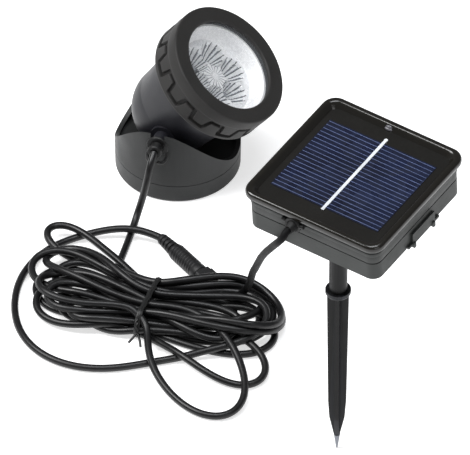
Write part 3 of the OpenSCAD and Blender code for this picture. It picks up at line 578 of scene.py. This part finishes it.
# black collar round the trunnion's end, with the two hooks that hold the lead
def yring(prof, n=48):
    return [[(r * math.cos(2 * math.pi * k / n), y, 46 + r * math.sin(2 * math.pi * k / n)) for k in range(n)] for r, y in prof]
parts = [rings(yring([(4.5, -38.75), (6.9, -38.75), (7.3, -39.05), (7.3, -40.1), (6.8, -40.6), (4.6, -40.6), (4.1, -40.2), (4.1, -39.2)]), closed=True),
         rings(yring([(2.6, -44.6), (4.3, -44.6), (4.7, -44.9), (4.7, -46.3), (4.3, -46.7), (2.6, -46.7)]), closed=True)]
for sx in (-1, 1):
    parts.append(tube(spline([[sx * 5.6, -39.6, 42.2], [sx * 6.3, -41.2, 39.4], [sx * 5.6, -43.6, 37.2], [sx * 3.6, -45.6, 37.0], [sx * 2.2, -46.4, 38.4]], 0.8), 1.15, 12))
collar = build("relief_collar", *join(parts), Matrix.Identity(4), M["relief"], "head", "relief_rubber", angle=45)

# ---------------------------------------------------------------- reflector
def reflector():
    """A bright flared wall round six deep cups whose walls are pleated towards their rims."""
    nt_ = 480
    rs = np.concatenate([[0.02], np.arange(0.4, 31.2, 0.33), [31.3]])
    th = np.arange(nt_) * 2 * math.pi / nt_
    X = rs[:, None] * np.cos(th); Y = rs[:, None] * np.sin(th)
    r = rs[:, None] + 0 * th
    fall = np.clip((31.2 - r) / 4.6, 0, 1)          # the steep bright wall, then a flat land
    z = 50.9 - 9.2 * (fall + 0.10 * np.sin(math.pi * fall))
    z = np.where(fall >= 1, 41.7, z)
    for k in range(6):
        a = k * math.pi / 3
        cx, cy = 13.0 * math.cos(a), 13.0 * math.sin(a)
        dx, dy = X - cx, Y - cy
        rho = np.hypot(dx, dy); phi = np.arctan2(dy, dx) - a
        rho = rho / (1 + 0.42 * np.cos(phi) * np.clip((rho - 2.5) / 5, 0, 1))
        cup = 27.95 + 13.9 * (np.clip(rho - 3.2, 0, None) / 5.0) ** 0.92
        flute = 1 - np.abs(np.sin(phi * 9))
        cup = cup - 1.3 * flute * np.clip((rho - 3.4) / 3, 0, 1)
        z = np.minimum(z, cup)
    loops = [[(X[i, k], Y[i, k], z[i, k]) for k in range(nt_)] for i in range(len(rs))]
    for rr, zz in ((32.6, 50.85), (32.75, 50.7), (32.75, 49.15), (31.6, 49.0), (26.0, 28.1), (25.4, 27.72), (0.02, 27.72)):
        loops.append([(rr * math.cos(t), rr * math.sin(t), zz) for t in th])
    return rings(loops)
def on_wall(c):
    q = HEAD.inverted() @ (Vector(c) * 1000)
    return math.hypot(q.x, q.y) > 26.4 and q.z > 41.0
def pleat_shade_faces(c):
    """which faces of the chrome get painted shade: 2 (dark) for the narrow valleys between the pleats and a ring round
    each cup's floor, 3 (grey half-shade) for one side of each pleat and thin stripes on the centre land, 0 for plain
    chrome
    """
    q = HEAD.inverted() @ (Vector(c) * 1000)
    r0 = math.hypot(q.x, q.y)
    if r0 < 9 and q.z > 41.0: return 3 if r0 > 2.5 and abs(math.sin(math.atan2(q.y, q.x) * 9)) < 0.3 else 0
    if q.z < 27.9 or q.z > 41.6 or r0 > 26.6: return 0
    a = round(math.atan2(q.y, q.x) / (math.pi / 3)) * math.pi / 3
    dx, dy = q.x - 13.0 * math.cos(a), q.y - 13.0 * math.sin(a)
    d = math.hypot(dx, dy); s = math.sin((math.atan2(dy, dx) - a) * 9)
    if 2.6 < d < 4.4: return 2
    if d > 4.4 and abs(s) < 0.26: return 2
    return 3 if d > 4.4 and 0.26 < s < 0.8 and q.z < 40 else 0
rf = build("reflector_dish", *reflector(), HEAD, M["chrome"], "head", "reflector_chrome", angle=28, second=M["wall"], pick=on_wall)
# the two darker metals paint shade into the chrome pleats: dark in the valleys and round the cup floors, grey
# half-shade on one side of each pleat
rf.data.materials.append(M["pleat"]); rf.data.materials.append(M["facet"])
rf_world = rf.matrix_world.copy()
for f in rf.data.polygons:
    if f.material_index == 0: f.material_index = pleat_shade_faces(rf_world @ f.center)
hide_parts("reflector")

# ---------------------------------------------------------------- panel cover
def panel_cover():
    rows = [(0.4, 0.4, .15, 25.0), (84.0, 84.0, 5, 25.0), (85.6, 85.6, 5.2, 25.05), (86.6, 86.6, 5.4, 26.3), (87.6, 87.6, 5.6, 27.0), (90.2, 90.2, 6.3, 28.7), (91.6, 91.6, 6.7, 29.5), (92.8, 92.8, 7.1, 29.9), (94.0, 94.0, 7.4, 30.0),
            (96.6, 96.6, 8.1, 29.95), (98.2, 98.2, 8.5, 29.6), (99.3, 99.3, 8.8, 28.95), (99.9, 99.9, 9, 28.1), (100, 100, 9, 27.3), (99.9, 99.9, 9, 26.1), (99.5, 99.5, 8.9, 25.4), (98.6, 98.6, 8.6, 24.95), (95.6, 95.6, 7.6, 24.85),
            (95.2, 95.2, 7.5, 24.6), (95.1, 95.1, 7.4, 22.5), (94.8, 94.8, 7.3, 22.2), (94.2, 94.2, 7.1, 22.0), (94.1, 94.1, 7.1, 21.6), (94.7, 94.7, 7.3, 21.3), (94.8, 94.8, 7.3, 19.2), (94.5, 94.5, 7.2, 18.9), (94.0, 94.0, 7.0, 18.7),
            (94, 94, 7, 13.5), (93.6, 93.6, 6.9, 13.1), (93, 93, 6.7, 13.0), (89.6, 89.6, 5, 13.0), (89.6, 89.6, 5, 23.1), (0.4, 0.4, .15, 23.2)]
    return rings([rrect(w, d, r, z, 9) for w, d, r, z in rows])
cover = build("panel_frame", *panel_cover(), PANEL, M["gloss"], "panel", "panel_gloss", angle=38, second=M["grey"],
              pick=lambda c: (PANEL.inverted() @ (Vector(c) * 1000)).z < 24.84)
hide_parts("panel_cover")

# black collar with two ears where the lead leaves the panel
def pring(prof, n=40):
    return [[(-12 + r * math.cos(2 * math.pi * k / n), y, 19.3 + r * math.sin(2 * math.pi * k / n)) for k in range(n)] for r, y in prof]
parts = [rings(pring([(3.9, -47.3), (5.2, -47.3), (5.6, -47.6), (5.6, -49.2), (5.1, -49.7), (4.0, -49.7), (3.7, -49.3), (3.7, -47.7)]), closed=True)]
for sx in (-1, 1):
    parts.append(tube(spline([[-12 + sx * 4.6, -48.5, 20.0], [-12 + sx * 6.4, -48.5, 20.9], [-12 + sx * 8.0, -48.7, 21.3]], 0.8), 1.35, 12))
ears = build("gland_collar", *join(parts), PANEL, M["relief"], "panel", "relief_rubber", angle=45)

# the button's return spring: a wound wire at its rest length, on a mesh of its own
turns = 5.0
coil = []
for k in range(241):
    t = k / 240; ang = 2 * math.pi * (turns + 2) * t
    lift = min(max((t * (turns + 2) - 1) / turns, 0), 1)        # a flat turn at each end
    coil.append([-28 + 4.4 * math.cos(ang), -26 + 4.4 * math.sin(ang), 3.66 + 3.96 * lift + 0.02 * t])
spring = build("spring_coil", *tube(np.array(coil), 0.24, 8), PANEL, M["spring"], "panel", "spring_steel", angle=60)
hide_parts("button_spring")
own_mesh(spring)

# wide sensor window against the tray's far wall
def dome(cx, cy, cz, ax, ay, az, n=28, m=9):
    loops = []
    for i in range(m + 1):
        t = math.pi / 2 * i / m
        rr = max(math.cos(t), 0.004) ; hz = math.sin(t) ** 0.9 if i else 0
        loops.append([(cx + ax * rr * math.cos(2 * math.pi * k / n), cy + ay * rr * math.sin(2 * math.pi * k / n), cz + az * hz) for k in range(n)])
    return rings(loops)
sensor = build("sensor_window", *join([dome(-4, 45.3, 27.3, 2.8, 1.5, 1.9), dome(-4, 45.1, 26.9, 3.4, 2.1, 1.3)]), PANEL, M["sensor"], "panel", "sensor_grey", angle=50)
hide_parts("light_sensor")

# silver fingers printed on the cell
parts = []
nf = 20
for k in range(nf):
    y = -31.2 + 62.4 * k / (nf - 1)
    w = 0.17
    parts.append(rings([[(-38.6, y - w, z), (38.6, y - w, z), (38.8, y, z), (38.6, y + w, z), (-38.6, y + w, z), (-38.8, y, z)] for z in (26.66, 26.735)]))
fingers = build("cell_fingers", *join(parts), PANEL, M["finger"], "panel", "busbar_silver", angle=50)

# ---------------------------------------------------------------- carried-over CAD nodes
for node, mat, bev in (("base_ring", "foot", .35), ("base_weight", "iron", .5), ("base_shell", "foot", .35), ("base_screws", "screw", 0), ("head_housing", "head", 0),
        ("front_lens", "lens", 0), ("lens_gasket", "seal", 0), ("led_board", "board", 0), ("leds", "led", 0), ("board_screws", "screw", 0), ("lamp_strain_relief", "relief", 0),
        ("plug_pin", "brass", 0), ("coupling_seal", "seal", 0), ("panel_base", "grey", 0), ("housing_gasket", "seal", 0), ("cell_board", "bboard", 0), ("solar_cell", "cell", 0),
        ("busbar", "silver", 0), ("control_board", "board", 0), ("battery_cells", "jacket", 0), ("battery_contacts", "brass", 0), ("battery_door", "grey", 0),
        ("door_pin", "screw", 0), ("power_button", "button", 0), ("housing_screws", "screw", 0), ("panel_gland", "relief", 0), ("hinge_bracket", "stake", .4),
        ("bracket_screws", "screw", 0), ("stake_head", "stake", .4), ("tilt_bolt", "screw", 0), ("wing_nut", "stake", .3), ("ground_stake", "stake", .35), ("stake_tip", "tip", 0)):
    dress(node, mat, bevel=bev)

# ---------------------------------------------------------------- floor and light
def plane(name, size, z, mat):
    me = bpy.data.meshes.new(name); s = size / 2
    me.from_pydata([(-s, -s, z), (s, -s, z), (s, s, z), (-s, s, z)], [], [(0, 1, 2, 3)]); me.materials.append(mat)
    o = bpy.data.objects.new(name, me); scene.collection.objects.link(o); return o
fm = bpy.data.materials.new("floor_m"); fm.use_nodes = True
fb = fm.node_tree.nodes["Principled BSDF"]
fb.inputs["Base Color"].default_value = (0.86, 0.86, 0.86, 1); fb.inputs["Roughness"].default_value = 0.9; fb.inputs["Specular IOR Level"].default_value = 0.1
fb.inputs["Emission Color"].default_value = (1, 1, 1, 1); fb.inputs["Emission Strength"].default_value = 0.62
plane("floor", 30, -0.0002, fm)
w = bpy.data.worlds.new("studio"); scene.world = w; w.use_nodes = True
w.node_tree.nodes["Background"].inputs["Color"].default_value = (0.97, 0.98, 1.0, 1)
w.node_tree.nodes["Background"].inputs["Strength"].default_value = 0.22
def area(name, loc, target, size, power, colour=(1, 1, 1)):
    l = bpy.data.lights.new(name, 'AREA'); l.shape = 'SQUARE'; l.size = size; l.energy = power; l.color = colour
    o = bpy.data.objects.new(name, l); scene.collection.objects.link(o); o.location = loc
    o.rotation_euler = (Vector(target) - Vector(loc)).to_track_quat('-Z', 'Y').to_euler(); return o
area("key", (-0.95, -0.45, 1.5), (0.05, -0.12, 0.05), 0.8, 26)
area("top", (0.15, -0.25, 1.9), (0.05, -0.12, 0.05), 0.9, 18, (0.95, 0.97, 1.0))
area("fill", (1.4, -1.3, 1.0), (0.05, -0.12, 0.05), 0.8, 3.5)
